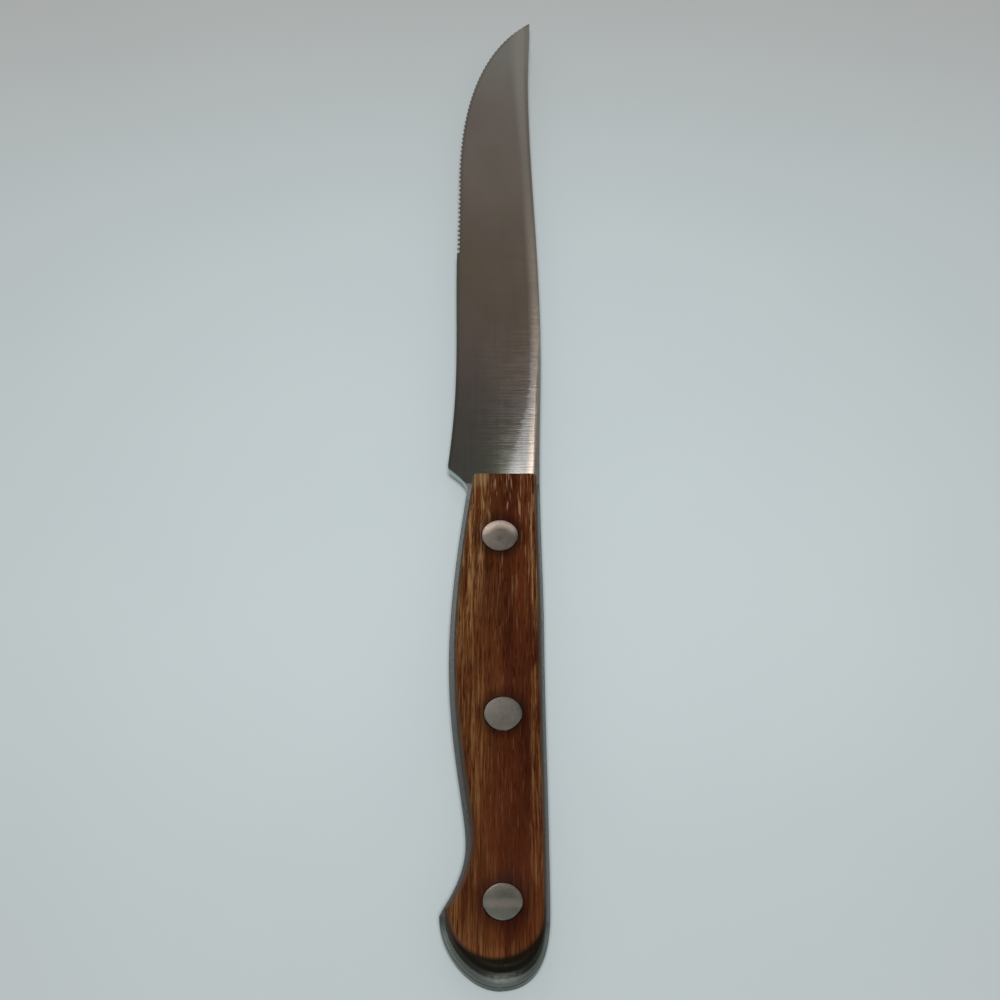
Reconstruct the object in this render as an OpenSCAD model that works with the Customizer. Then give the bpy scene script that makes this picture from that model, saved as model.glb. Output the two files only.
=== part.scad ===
// Steak knife with a full tang, two wooden scales and three two-part rivets.
// It lies on its lower scale: +Y points to the tip, +X to the back of the blade, +Z up.
// Plan sizes are widths measured from the back line, the outermost line of the knife's back.

/* [Blade] */
// Length of the blade in front of the scales
blade_l = 126; // [100:1:150]
// Thickness of the steel, blade and tang alike
steel_t = 2; // [1.6:0.1:2.6]
// From the back line to the point
tip_drop = 2.15; // [1.6:0.05:3]
// From the back line to the back of the blade where it dips behind the point
dip_drop = 2.6; // [1.6:0.05:3.2]
// From the back line to the back of the blade where it swells in front of the heel
hump_drop = 0.5; // [0.2:0.05:1.4]
// From the back line to the edge at the heel
heel_w = 19.25; // [18:0.05:19.5]
// From the back line to the edge at its narrowest, in front of the heel
recurve_w = 17.85; // [16.5:0.05:18.5]
// From the back line to the edge where the teeth begin
swell_w = 18.05; // [16.5:0.05:19]
// From the back line to the tooth tips where the edge starts to curve up
belly_w = 17.8; // [16.5:0.05:19]
// From the front of the scales to the corner of the heel
heel_l = 4.5; // [4:0.1:6]
// Rounding of the corner of the heel
heel_round = 0.7; // [0.5:0.1:1.2]
// Slope of the edge at the point, in degrees from the knife's length
tip_angle = 58; // [50:1:70]
// How far the curve of the edge leans out ahead of the belly
belly_lead = 28; // [18:0.5:30]
// How far the curve of the edge leans out behind the point
tip_lead = 10; // [8:0.1:14]

/* [Grind] */
// Diameter of the wheel that hollows both faces
wheel_d = 240; // [200:5:300]
// From the back line to the deepest line of the hollow
hollow_w = 10.9; // [10:0.1:12]
// Depth of the hollow at the handle, on each face
heel_hollow = 0.3; // [0.2:0.01:0.4]
// Depth of the hollow at the point, on each face
tip_hollow = 0.78; // [0.5:0.01:0.8]
// Distance from the front of the scales to the start of the hollow
hollow_start = 0.4; // [0.2:0.1:1]
// Slope of the cutting bevel on the under face, in degrees
bevel_angle = 17; // [14:0.5:22]
// Thickness left along the cutting edge
edge_t = 0.2; // [0.15:0.05:0.35]
// Distance over which the bevel runs out at the heel
bevel_run = 9; // [5:0.5:14]

/* [Teeth] */
// Distance from one tooth to the next along the edge
tooth_pitch = 1.25; // [1.2:0.05:1.6]
// Depth of the rearmost gullet, where the teeth are deepest
tooth_depth = 0.6; // [0.4:0.01:0.7]
// Depth that the gullets come down to at the point
tooth_least = 0.12; // [0.08:0.01:0.3]
// Diameter of the round cutter that leaves a gullet
gullet_d = 1.1; // [0.9:0.05:1.1]
// Lean of the gullets towards the under face, in degrees from upright
gullet_lean = 55; // [45:1:58]
// Untoothed edge left behind the point
tip_plain = 1.6; // [1:0.1:4]

/* [Handle] */
// Length of the handle, from the butt of the tang to the front of the scales
handle_l = 103.4; // [90:0.2:120]
// From the back line to the back of the tang at the front of the scales
throat_drop = 1; // [0.3:0.05:1.4]
// From the back line to the back of the tang at the grip
grip_drop = 0.5; // [0.2:0.05:1]
// From the back line to the edge side of the tang behind the heel
throat_w = 15.3; // [14.8:0.05:16.5]
// From the back line to the edge side of the tang at the grip
grip_w = 18.5; // [17:0.05:19.5]
// From the back line to the edge side of the tang at the waist
waist_w = 15.05; // [14:0.05:16.5]
// From the back line to the nose of the pommel, the knife's whole width
pommel_w = 19.6; // [19.5:0.05:21]
// From the back line to the rearmost point of the butt
butt_w = 9; // [8:0.1:11]
// Thickness of each scale
scale_t = 4.3; // [3.6:0.1:5.5]
// Steel left bare along the edge side of the scales
scale_margin = 1; // [0.6:0.05:1.5]
// Steel left bare along the back of the scales
back_margin = 0.7; // [0.5:0.05:1.2]
// Steel left bare at the butt
butt_margin = 1.5; // [0.8:0.1:2]
// Rounding of the outer edges of the scales
scale_round = 1.4; // [0.8:0.1:1.8]
// Rounding of the front edge of the scales
front_round = 0.5; // [0.3:0.1:0.8]
// Rounding of the front corners of the scales, seen from above
corner_round = 0.4; // [0.3:0.1:1.2]

/* [Rivets] */
// Diameter of the rivet heads
head_d = 7.1; // [6.4:0.1:8]
// Thickness of the rivet heads
head_t = 1.3; // [1:0.1:1.6]
// How far the heads lie below the face of the wood
head_sink = 0.05; // [0.03:0.01:0.1]
// Outer diameter of the tubular half
tube_d = 3.9; // [3.6:0.1:4.4]
// Length of the tube below its head
tube_l = 6.4; // [5.5:0.1:6.8]
// Diameter of the pin that is driven into the tube
pin_d = 2.8; // [2.4:0.1:3]
// Length of the pin below its head
pin_l = 5.6; // [4.5:0.1:6]
// From the front of the scales back to the front rivet
front_rivet_y = 14.4; // [12:0.1:18]
// From the front rivet back to the middle rivet
front_step = 38.3; // [32:0.1:44]
// From the middle rivet back to the rear rivet
rear_step = 36.6; // [32:0.1:38]
// From the back line to the front rivet
front_rivet_w = 8.9; // [8:0.1:9.6]
// From the back line to the middle rivet
middle_rivet_w = 8.3; // [7.6:0.1:9.4]
// From the back line to the rear rivet
rear_rivet_w = 8.4; // [7.6:0.1:9.4]

/* [Fits] */
// Gap round a rivet head in its counterbore
head_gap = 0.08; // [0.05:0.01:0.15]
// Gap round the tube in the scales and the tang
tube_gap = 0.05; // [0.03:0.01:0.1]
// Gap round the pin in the tube
pin_gap = 0.02; // [0.01:0.005:0.04]

/* [Hidden] */

$fn = 96;
wheel_fn = 360;
curve_steps = 12;
fine_steps = 40;
round_steps = 5;
overrun = 1;

steel_colour = "#6b655e";
wood_colour = "#5a2a1a";
rivet_colour = "#9a9690";

overall_l = handle_l + blade_l;
total_t = steel_t + 2 * scale_t;
heel_v = handle_l + heel_l;
wheel_r = wheel_d / 2;
hollow_rise = atan((tip_hollow - heel_hollow) / blade_l);

// Places of the outline's turning points, as shares of the length they lie on
dip_share = 0.85;
hump_share = 0.27;
recurve_share = 0.25;
swell_share = 0.43;
belly_share = 0.62;
teeth_share = 0.47;
grip_back_share = 0.67;
grip_share = 0.62;
waist_share = 0.256;
nose_share = 0.126;
pommel_back_share = 0.135;
foot_share = 0.99;

// How far each curve holds its direction, as shares of its own length and width
third_share = 1 / 3;
back_corner_shares = [0.65, 0.69];
edge_corner_shares = [0.46, 0.52];
nose_shares = [0.53, 0.07];
waist_shares = [0.46, 0.19];
foot_rise_share = 0.53;
notch_foot_share = 0.34;
notch_heel_shares = [0.28, 0.4];
heel_shares = [0.3, 0.59];
recurve_lead_share = 0.44;
heel_cut_share = 0.2;

// Length of the cutter that leaves a gullet, as a share of the steel's thickness
gullet_share = 3.4;

// Turning points, each [distance from the butt, distance from the back line]
tip = [overall_l, tip_drop];
dip = [handle_l + dip_share * blade_l, dip_drop];
hump = [handle_l + hump_share * blade_l, hump_drop];
throat = [handle_l, throat_drop];
grip_back = [grip_back_share * handle_l, grip_drop];
pommel_back = [pommel_back_share * handle_l, 0];
butt = [0, butt_w];
nose = [nose_share * handle_l, pommel_w];
waist = [waist_share * handle_l, waist_w];
grip = [grip_share * handle_l, grip_w];
foot = [foot_share * handle_l, throat_w];
heel_low = [heel_v - heel_round, heel_w - heel_cut_share * heel_round];
heel = [heel_v, heel_w];
recurve = [handle_l + recurve_share * blade_l, recurve_w];
swell = [handle_l + swell_share * blade_l, swell_w];
belly = [handle_l + belly_share * blade_l, belly_w];

rivet_front = [handle_l - front_rivet_y, front_rivet_w];
rivet_middle = [rivet_front[0] - front_step, middle_rivet_w];
rivet_rear = [rivet_middle[0] - rear_step, rear_rivet_w];
rivets = [rivet_front, rivet_middle, rivet_rear];

// A point at share t of a cubic curve with the end points and handles in s
function bend(s, t) =
    pow(1 - t, 3) * s[0] + 3 * pow(1 - t, 2) * t * s[1] + 3 * (1 - t) * t * t * s[2] + pow(t, 3) * s[3];

// All curves of a list as points, each without its last point
function trace(curves, steps) = [for (s = curves) for (i = [0:steps - 1]) bend(s, i / steps)];

// A curve from a to b that leaves and arrives along the knife's length
function swing(a, b, lead_a, lead_b) =
    let (run = b[0] - a[0]) [a, [a[0] + lead_a * run, a[1]], [b[0] - lead_b * run, b[1]], b];

function ease(a, b) = swing(a, b, third_share, third_share);

back_blade = [ease(tip, dip), ease(dip, hump), ease(hump, throat)];
back_handle = [ease(throat, grip_back), ease(grip_back, pommel_back)];
butt_back = [
    pommel_back,
    [pommel_back[0] * (1 - back_corner_shares[0]), pommel_back[1]],
    [butt[0], butt[1] * (1 - back_corner_shares[1])],
    butt
];
butt_edge = [
    butt,
    [butt[0], butt[1] + edge_corner_shares[1] * (nose[1] - butt[1])],
    [nose[0] * (1 - edge_corner_shares[0]), nose[1]],
    nose
];
grip_front = [
    grip,
    [grip[0] + third_share * (foot[0] - grip[0]), grip[1]],
    [foot[0] - third_share * (foot[0] - grip[0]), foot[1] + foot_rise_share * (grip[1] - foot[1])],
    foot
];
edge_handle = [
    butt_edge,
    swing(nose, waist, nose_shares[1], nose_shares[0]),
    swing(waist, grip, waist_shares[1], waist_shares[0]),
    grip_front
];
notch_size = heel_low - foot;
notch = [
    foot,
    [foot[0] + notch_foot_share * notch_size[0], foot[1]],
    heel_low - [notch_heel_shares[0] * notch_size[0], notch_heel_shares[1] * notch_size[1]],
    heel_low
];
heel_corner = [
    heel_low,
    heel_low + third_share * (heel - heel_low),
    [heel_v - third_share * heel_round, heel_w],
    heel
];
heel_edge = [
    heel,
    heel + [heel_shares[0] * (recurve[0] - heel[0]), heel_shares[1] * (recurve[1] - heel[1])],
    [recurve[0] - recurve_lead_share * (recurve[0] - heel[0]), recurve[1]],
    recurve
];
tip_curve = [
    belly,
    [belly[0] + belly_lead, belly[1]],
    tip + tip_lead * [-cos(tip_angle), sin(tip_angle)],
    tip
];
cutting_edge = [heel_edge, ease(recurve, swell), ease(swell, belly), tip_curve];

// The plan of a list of [distance from the butt, distance from the back line] in the knife's frame
function plan(p) = [pommel_w / 2 - p[1], p[0] - overall_l / 2];
function plans(points) = [for (p = points) plan(p)];

function unit(p) = p / norm(p);

// A point list moved to its right-hand side, by end along the knife, and across it by back where
// the list runs towards the butt and by side where it runs towards the point
function inset(points, back, side, end) = [
    for (i = [0:len(points) - 1])
        let (
            a = points[max(i - 1, 0)],
            b = points[min(i + 1, len(points) - 1)],
            d = unit(b - a)
        )
        points[i] + [d[1] * end, -d[0] * (d[0] < 0 ? back : side)]
];

// Edge of the blade as a fine path from the heel to the point, with its running length
edge_path = concat(trace(cutting_edge, fine_steps), [tip]);
edge_last = len(edge_path) - 1;
edge_steps = [for (i = [1:edge_last]) norm(edge_path[i] - edge_path[i - 1])];
edge_runs = [for (i = 0, s = 0; i <= edge_last; s = s + (i < edge_last ? edge_steps[i] : 0), i = i + 1) s];
edge_vs = [for (i = [0:edge_last]) [edge_runs[i], edge_path[i][0]]];
edge_ws = [for (i = [0:edge_last]) [edge_runs[i], edge_path[i][1]]];
edge_ss = [for (i = [0:edge_last]) [edge_path[i][0], edge_runs[i]]];
edge_length = edge_runs[edge_last];

function edge_at(s) = [lookup(s, edge_vs), lookup(s, edge_ws)];
function edge_way(s) = unit(edge_at(s + tooth_depth) - edge_at(s - tooth_depth));

// Depth of the gullet at a place along the edge
teeth_s = lookup(handle_l + teeth_share * blade_l, edge_ss);
function depth_at(s) =
    tooth_least + (tooth_depth - tooth_least) * pow((edge_length - s) / (edge_length - teeth_s), 2);

// Depth of the hollow on one face at a place in the plan
function hollow_at(p) =
    let (deep = heel_hollow + (tip_hollow - heel_hollow) * (p[0] - handle_l) / blade_l)
    max(0, deep - wheel_r + sqrt(pow(wheel_r, 2) - pow(p[1] - hollow_w, 2)));

// Height of the cutting edge above the under face, nothing at the heel
function edge_h(p) =
    let (grown = min(1, max(0, (p[0] - heel_v) / bevel_run)))
    grown * (steel_t - edge_t - hollow_at(p));

// A closed solid through a list of rings of points, each clockwise as seen from before the first ring.
// Its end faces fan out from the two hubs, because the plan of a scale isn't convex.
module rings(layers, hubs) {
    n = len(layers[0]);
    last = len(layers) - 1;
    hub = (last + 1) * n;
    polyhedron(
        points = concat([for (layer = layers) for (p = layer) p], hubs),
        faces = concat(
            [for (i = [0:n - 1]) [hub, i, (i + 1) % n]],
            [for (k = [0:last - 1]) for (i = [0:n - 1]) [k * n + i, (k + 1) * n + i, k * n + (i + 1) % n]],
            [for (k = [0:last - 1]) for (i = [0:n - 1])
                [k * n + (i + 1) % n, (k + 1) * n + i, (k + 1) * n + (i + 1) % n]],
            [for (i = [0:n - 1]) [hub + 1, last * n + (i + 1) % n, last * n + i]]
        )
    );
}

function middle(points) = [for (p = points) 1] * points / len(points);

// Blade and tang in one piece of sheet
module sheet() {
    around = concat(back_blade, back_handle, [butt_back], edge_handle, [notch, heel_corner], cutting_edge);
    linear_extrude(steel_t) polygon(plans(trace(around, curve_steps)));
}

// The grinding wheel that hollows the upper face, sunk deeper towards the point
module wheel() {
    start = plan([handle_l + hollow_start, hollow_w]);
    translate([start[0], start[1], steel_t - heel_hollow])
        rotate([-90 - hollow_rise, 0, 0])
            translate([0, -wheel_r, 0])
                cylinder(r = wheel_r, h = blade_l + wheel_r, $fn = wheel_fn);
}

// The stock that the bevel takes off the under face, along the whole edge
module bevel() {
    path = concat(trace(cutting_edge, curve_steps), [tip, tip + overrun * unit(tip - tip_curve[2])]);
    slope = tan(bevel_angle);
    last = len(path) - 1;
    layers = [
        for (i = [0:last])
            let (
                d = unit(path[min(i + 1, last)] - path[max(i - 1, 0)]),
                inward = [d[1], -d[0]],
                h = edge_h(path[i]),
                outer = plan(path[i] - overrun * inward),
                inner = plan(path[i] + (h / slope + overrun) * inward),
                drop = overrun * slope
            )
            [
                [outer[0], outer[1], h + drop],
                [inner[0], inner[1], -drop],
                [inner[0], inner[1], -drop - overrun],
                [outer[0], outer[1], -drop - overrun]
            ]
    ];
    rings(layers, [middle(layers[0]), middle(layers[last])]);
}

// One gullet between two teeth, leaning so that it scoops the under face
module gullet(s) {
    reach = gullet_d / 2 / cos(gullet_lean);
    way = edge_way(s);
    place = plan(edge_at(s) - (reach - depth_at(s)) * [way[1], -way[0]]);
    turn = atan2(-way[1], way[0]);
    translate([place[0], place[1], steel_t - hollow_at(edge_at(s))])
        rotate([0, 0, -turn])
            rotate([0, -gullet_lean, 0])
                cylinder(d = gullet_d, h = gullet_share * steel_t, center = true);
}

module rivet_holes(d, h) {
    for (p = rivets)
        translate(concat(plan(p), -overrun)) cylinder(d = d, h = h + 2 * overrun);
}

module blade() {
    color(steel_colour)
        translate([0, 0, scale_t])
            difference() {
                sheet();
                wheel();
                translate([0, 0, steel_t]) mirror([0, 0, 1]) wheel();
                bevel();
                for (s = [teeth_s:tooth_pitch:edge_length - tip_plain]) gullet(s);
                rivet_holes(tube_d + 2 * tube_gap, steel_t);
            }
}

// Plan of a scale, drawn in by its bare margins and drawn_in more, with its front drawn back by front
function scale_plan(drawn_in, front) =
    let (
        around = concat(back_handle, [butt_back], edge_handle),
        path = inset(
            concat(trace(around, curve_steps), [foot]),
            back_margin + drawn_in,
            scale_margin + drawn_in,
            butt_margin + drawn_in
        ),
        inner = [for (i = [1:len(path) - 2]) path[i]],
        line_v = handle_l - front,
        back_side = path[0][1],
        edge_side = path[len(path) - 1][1]
    )
    concat(
        inner,
        [for (i = [0:round_steps])
            let (a = 90 * i / round_steps)
            [line_v - corner_round * (1 - sin(a)), edge_side - corner_round * (1 - cos(a))]],
        [for (i = [round_steps:-1:0])
            let (a = 90 * i / round_steps)
            [line_v - corner_round * (1 - sin(a)), back_side + corner_round * (1 - cos(a))]]
    );

// A scale's wood before its holes, with its inner face on z = 0 and its outer edges rounded
module wood() {
    hub = plan([waist[0], waist[1] / 2]);
    rings(
        concat(
            [
                for (i = [round_steps:-1:0])
                    let (
                        a = 90 * i / round_steps,
                        d = scale_round * (1 - cos(a)),
                        f = front_round * (1 - cos(a)),
                        z = scale_t - scale_round * (1 - sin(a))
                    )
                    [for (p = plans(scale_plan(d, f))) [p[0], p[1], z]]
            ],
            [[for (p = plans(scale_plan(0, 0))) [p[0], p[1], 0]]]
        ),
        [concat(hub, scale_t), concat(hub, 0)]
    );
}

// A scale with its inner face on z = 0 and its outer face up
module scale_body() {
    difference() {
        wood();
        rivet_holes(tube_d + 2 * tube_gap, scale_t);
        for (p = rivets)
            translate(concat(plan(p), scale_t - head_t - head_sink))
                cylinder(d = head_d + 2 * head_gap, h = head_t + overrun);
    }
}

module upper_scale() {
    color(wood_colour) translate([0, 0, scale_t + steel_t]) scale_body();
}

module lower_scale() {
    color(wood_colour) translate([0, 0, scale_t]) mirror([0, 0, 1]) scale_body();
}

// The tubular half of a rivet, put in from above
module rivet_tube(p) {
    seat_z = total_t - head_sink - head_t;
    color(rivet_colour)
        translate(concat(plan(p), 0))
            difference() {
                union() {
                    translate([0, 0, seat_z]) cylinder(d = head_d, h = head_t);
                    translate([0, 0, seat_z - tube_l]) cylinder(d = tube_d, h = tube_l + head_t / 2);
                }
                translate([0, 0, seat_z - tube_l - overrun])
                    cylinder(d = pin_d + 2 * pin_gap, h = tube_l + overrun);
            }
}

// The solid half of a rivet, driven into the tube from below
module rivet_pin(p) {
    color(rivet_colour)
        translate(concat(plan(p), head_sink)) {
            cylinder(d = head_d, h = head_t);
            cylinder(d = pin_d, h = head_t + pin_l);
        }
}

module front_rivet_tube() rivet_tube(rivet_front);
module middle_rivet_tube() rivet_tube(rivet_middle);
module rear_rivet_tube() rivet_tube(rivet_rear);
module front_rivet_pin() rivet_pin(rivet_front);
module middle_rivet_pin() rivet_pin(rivet_middle);
module rear_rivet_pin() rivet_pin(rivet_rear);

blade();
upper_scale();
lower_scale();
front_rivet_tube();
middle_rivet_tube();
rear_rivet_tube();
front_rivet_pin();
middle_rivet_pin();
rear_rivet_pin();
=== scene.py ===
"""A steak knife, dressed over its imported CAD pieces: the same shapes with finer curves, small
roundings and procedural steel, wood and rivet metal, on a plain pale floor.

Plan places are (along, across) pairs in millimetres: along from the butt to the point, and across
from the outermost line of the knife's back. Meshes are made in metres in the CAD frame."""

import bisect
import math

import bmesh
import bpy
from mathutils import Matrix, Vector


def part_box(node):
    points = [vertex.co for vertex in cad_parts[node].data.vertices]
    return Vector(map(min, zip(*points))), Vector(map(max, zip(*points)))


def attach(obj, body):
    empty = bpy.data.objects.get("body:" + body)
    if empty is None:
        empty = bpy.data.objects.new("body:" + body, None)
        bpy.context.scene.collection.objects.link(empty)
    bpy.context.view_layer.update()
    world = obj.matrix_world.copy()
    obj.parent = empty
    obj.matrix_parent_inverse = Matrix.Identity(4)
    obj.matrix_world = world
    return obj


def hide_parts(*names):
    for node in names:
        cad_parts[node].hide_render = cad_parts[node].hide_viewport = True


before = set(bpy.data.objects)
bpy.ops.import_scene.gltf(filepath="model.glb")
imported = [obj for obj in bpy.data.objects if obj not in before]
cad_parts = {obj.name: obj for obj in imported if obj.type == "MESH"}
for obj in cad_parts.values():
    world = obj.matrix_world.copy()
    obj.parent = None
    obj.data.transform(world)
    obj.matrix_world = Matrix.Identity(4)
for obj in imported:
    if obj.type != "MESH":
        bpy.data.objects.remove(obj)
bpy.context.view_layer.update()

MM = 0.001


def box_mm(node):
    low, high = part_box(node)
    return low / MM, high / MM


# Sizes that the frame gives
BLADE_LOW, BLADE_HIGH = box_mm("blade")
SCALE_LOW, SCALE_HIGH = box_mm("upper_scale")
TUBE_LOW, TUBE_HIGH = box_mm("front_rivet_tube")
PIN_LOW, _ = box_mm("front_rivet_pin")
OVERALL_L = BLADE_HIGH.y - BLADE_LOW.y
POMMEL_W = BLADE_HIGH.x - BLADE_LOW.x
STEEL_T = BLADE_HIGH.z - BLADE_LOW.z
SCALE_T = SCALE_HIGH.z - SCALE_LOW.z
TOTAL_T = SCALE_HIGH.z
HANDLE_L = SCALE_HIGH.y - BLADE_LOW.y
BLADE_L = OVERALL_L - HANDLE_L
HEAD_D = TUBE_HIGH.x - TUBE_LOW.x

# Outline, as in the CAD model
TIP_DROP = 2.15
DIP_DROP = 2.6
HUMP_DROP = 0.5
HEEL_W = 19.25
RECURVE_W = 17.85
SWELL_W = 18.05
BELLY_W = 17.8
HEEL_L = 4.5
HEEL_ROUND = 0.7
TIP_ANGLE = math.radians(58)
BELLY_LEAD = 28
TIP_LEAD = 10
THROAT_DROP = 1
GRIP_DROP = 0.5
THROAT_W = 15.3
GRIP_W = 18.5
WAIST_W = 15.05
BUTT_W = 9

# Places of the outline's turning points, as shares of the length that they lie on
DIP_SHARE = 0.85
HUMP_SHARE = 0.27
RECURVE_SHARE = 0.25
SWELL_SHARE = 0.43
BELLY_SHARE = 0.62
TEETH_SHARE = 0.47
GRIP_BACK_SHARE = 0.67
GRIP_SHARE = 0.62
WAIST_SHARE = 0.256
NOSE_SHARE = 0.126
POMMEL_BACK_SHARE = 0.135
FOOT_SHARE = 0.99

# How far each curve holds its direction, as shares of its own length and width
THIRD = 1 / 3
BACK_CORNER_SHARES = (0.65, 0.69)
EDGE_CORNER_SHARES = (0.46, 0.52)
NOSE_SHARES = (0.07, 0.53)
WAIST_SHARES = (0.19, 0.46)
FOOT_RISE_SHARE = 0.53
NOTCH_FOOT_SHARE = 0.34
NOTCH_HEEL_SHARES = (0.28, 0.4)
HEEL_SHARES = (0.3, 0.59)
RECURVE_LEAD_SHARE = 0.44
HEEL_CUT_SHARE = 0.2

TIP = (OVERALL_L, TIP_DROP)
DIP = (HANDLE_L + DIP_SHARE * BLADE_L, DIP_DROP)
HUMP = (HANDLE_L + HUMP_SHARE * BLADE_L, HUMP_DROP)
THROAT = (HANDLE_L, THROAT_DROP)
GRIP_BACK = (GRIP_BACK_SHARE * HANDLE_L, GRIP_DROP)
POMMEL_BACK = (POMMEL_BACK_SHARE * HANDLE_L, 0)
BUTT = (0, BUTT_W)
NOSE = (NOSE_SHARE * HANDLE_L, POMMEL_W)
WAIST = (WAIST_SHARE * HANDLE_L, WAIST_W)
GRIP = (GRIP_SHARE * HANDLE_L, GRIP_W)
FOOT = (FOOT_SHARE * HANDLE_L, THROAT_W)
HEEL = (HANDLE_L + HEEL_L, HEEL_W)
HEEL_LOW = (HEEL[0] - HEEL_ROUND, HEEL_W - HEEL_CUT_SHARE * HEEL_ROUND)
RECURVE = (HANDLE_L + RECURVE_SHARE * BLADE_L, RECURVE_W)
SWELL = (HANDLE_L + SWELL_SHARE * BLADE_L, SWELL_W)
BELLY = (HANDLE_L + BELLY_SHARE * BLADE_L, BELLY_W)

# Grind and teeth, as in the CAD model
WHEEL_R = 120
HOLLOW_W = 10.9
HEEL_HOLLOW = 0.3
TIP_HOLLOW = 0.78
HOLLOW_START = 0.4
HOLLOW_RUN = 0.8
BEVEL_SLOPE = math.tan(math.radians(17))
EDGE_T = 0.2
BEVEL_RUN = 9
TOOTH_PITCH = 1.25
TOOTH_DEPTH = 0.6
TOOTH_LEAST = 0.12
GULLET_R = 0.55
GULLET_LEAN = math.radians(55)
TEETH_START = HANDLE_L + TEETH_SHARE * BLADE_L
TIP_PLAIN = 1.6

# Scales and rivets, as in the CAD model
SCALE_MARGIN = 1
BACK_MARGIN = 0.7
BUTT_MARGIN = 1.5
SCALE_ROUND = 1.4
HEAD_T = 1.3
HEAD_SINK = TOTAL_T - TUBE_HIGH.z
HEAD_GAP = 0.08
TUBE_D = 3.9
TUBE_L = 6.4
TUBE_GAP = 0.05
PIN_D = 2.8
PIN_L = 5.6
PIN_GAP = 0.02

# Small roundings of the finer meshes; the scales' front and corners are crisper than in the CAD.
# A broken edge takes no more than a share of the blade's width, and a hole's has a step within it.
FRONT_ROUND = 0.2
CORNER_ROUND = 0.12
BACK_BREAK = 0.12
EDGE_BREAK = 0.03
HOLE_BREAK = 0.07
HEAD_BREAK = 0.13
HEAD_CROWN = 0.07
BREAK_SHARE = 0.2
BREAK_STEP = 0.3
THINNEST = 0.02
SHARP_ANGLE = math.radians(30)

# Steps of the finer meshes
CURVE_STEPS = 160
SCALE_STEPS = 30
ROUND_STEPS = 10
CIRCLE_STEPS = 96
BUTT_STEPS = 26
GRIP_STEPS = 80
NOTCH_STEPS = 34
EDGE_STEPS = 80
TIP_STEPS = 12
GULLET_SHARES = (-1, -0.86, -0.62, -0.32, 0, 0.32, 0.62, 0.86, 1)
HEAD_SHARES = (0, 0.2, 0.4, 0.6, 0.75, 0.88, 1)
HEAD_TURNS = (30, 60, 90)

# Points across the blade: steps from the back to the grind line, over it, and on to the bevel,
# the teeth and the edge; where these lie on the tang; and the room that each keeps
ACROSS_STEPS = (3, 1, 8, 4, 9)
TANG_STOPS = (0.12, 0.7, 0.9)
GRIND_BOUNDS = (0.06, 0.9)
BEVEL_AFTER, BEVEL_BOUND = 0.05, 0.9
TEETH_AFTER, TEETH_BOUND = 0.03, 0.95
BEVEL_REACH = 1.2
TEETH_REACH = 1.9
LINE_HALF = 0.05
LINE_LEAST_W = 2
LEAST_LEAN = 0.2

# A distance that stands for far off, a fade that turns a share round, the least sizes to divide
# by, how close two points are one, and the middle of a noise
FAR = 50
REVERSED = (1, 0)
TINY = 1e-9
LEAST_W = 1e-3
SAME_POINT = 1e-7
MIDDLE = 0.5


def bend(s, t):
    """The point at share t of a cubic curve with the end points and handles in s."""
    u = 1 - t
    weights = (u**3, 3 * u * u * t, 3 * u * t * t, t**3)
    return tuple(sum(k * p[axis] for k, p in zip(weights, s)) for axis in (0, 1))


def between(a, b, along, across):
    """The point at the given shares of the way from a to b."""
    return (a[0] + along * (b[0] - a[0]), a[1] + across * (b[1] - a[1]))


def curve(a, b, lead_a, lead_b):
    """A curve from a to b with its handles at the given shares of the way from either end."""
    return (a, between(a, b, *lead_a), between(b, a, *lead_b), b)


def swing(a, b, lead_a=THIRD, lead_b=THIRD):
    """A curve from a to b that leaves and arrives along the knife's length."""
    return curve(a, b, (lead_a, 0), (lead_b, 0))


HANDLE_BACK_CURVES = [
    curve(BUTT, POMMEL_BACK, (0, BACK_CORNER_SHARES[1]), (BACK_CORNER_SHARES[0], 0)),
    swing(POMMEL_BACK, GRIP_BACK),
    swing(GRIP_BACK, THROAT),
]
BLADE_BACK_CURVES = [swing(THROAT, HUMP), swing(HUMP, DIP), swing(DIP, TIP)]
HANDLE_EDGE_CURVES = [
    curve(BUTT, NOSE, (0, EDGE_CORNER_SHARES[1]), (EDGE_CORNER_SHARES[0], 0)),
    swing(NOSE, WAIST, *NOSE_SHARES),
    swing(WAIST, GRIP, *WAIST_SHARES),
    curve(GRIP, FOOT, (THIRD, 0), (THIRD, FOOT_RISE_SHARE)),
]
HEEL_CURVES = [
    curve(FOOT, HEEL_LOW, (NOTCH_FOOT_SHARE, 0), NOTCH_HEEL_SHARES),
    curve(HEEL_LOW, HEEL, (THIRD, THIRD), (THIRD, 0)),
]
CUTTING_CURVES = [
    curve(HEEL, RECURVE, HEEL_SHARES, (RECURVE_LEAD_SHARE, 0)),
    swing(RECURVE, SWELL),
    swing(SWELL, BELLY),
    (
        BELLY,
        (BELLY[0] + BELLY_LEAD, BELLY_W),
        (TIP[0] - TIP_LEAD * math.cos(TIP_ANGLE), TIP_DROP + TIP_LEAD * math.sin(TIP_ANGLE)),
        TIP,
    ),
]


def unit(p):
    size = math.hypot(*p)
    return (p[0] / size, p[1] / size)


def dot(a, b):
    return a[0] * b[0] + a[1] * b[1]


def moved(p, way, by):
    return (p[0] + way[0] * by, p[1] + way[1] * by)


def clamp(x, low, high):
    return max(low, min(high, x))


def smooth(x):
    t = clamp(x, 0, 1)
    return t * t * (3 - 2 * t)


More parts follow.
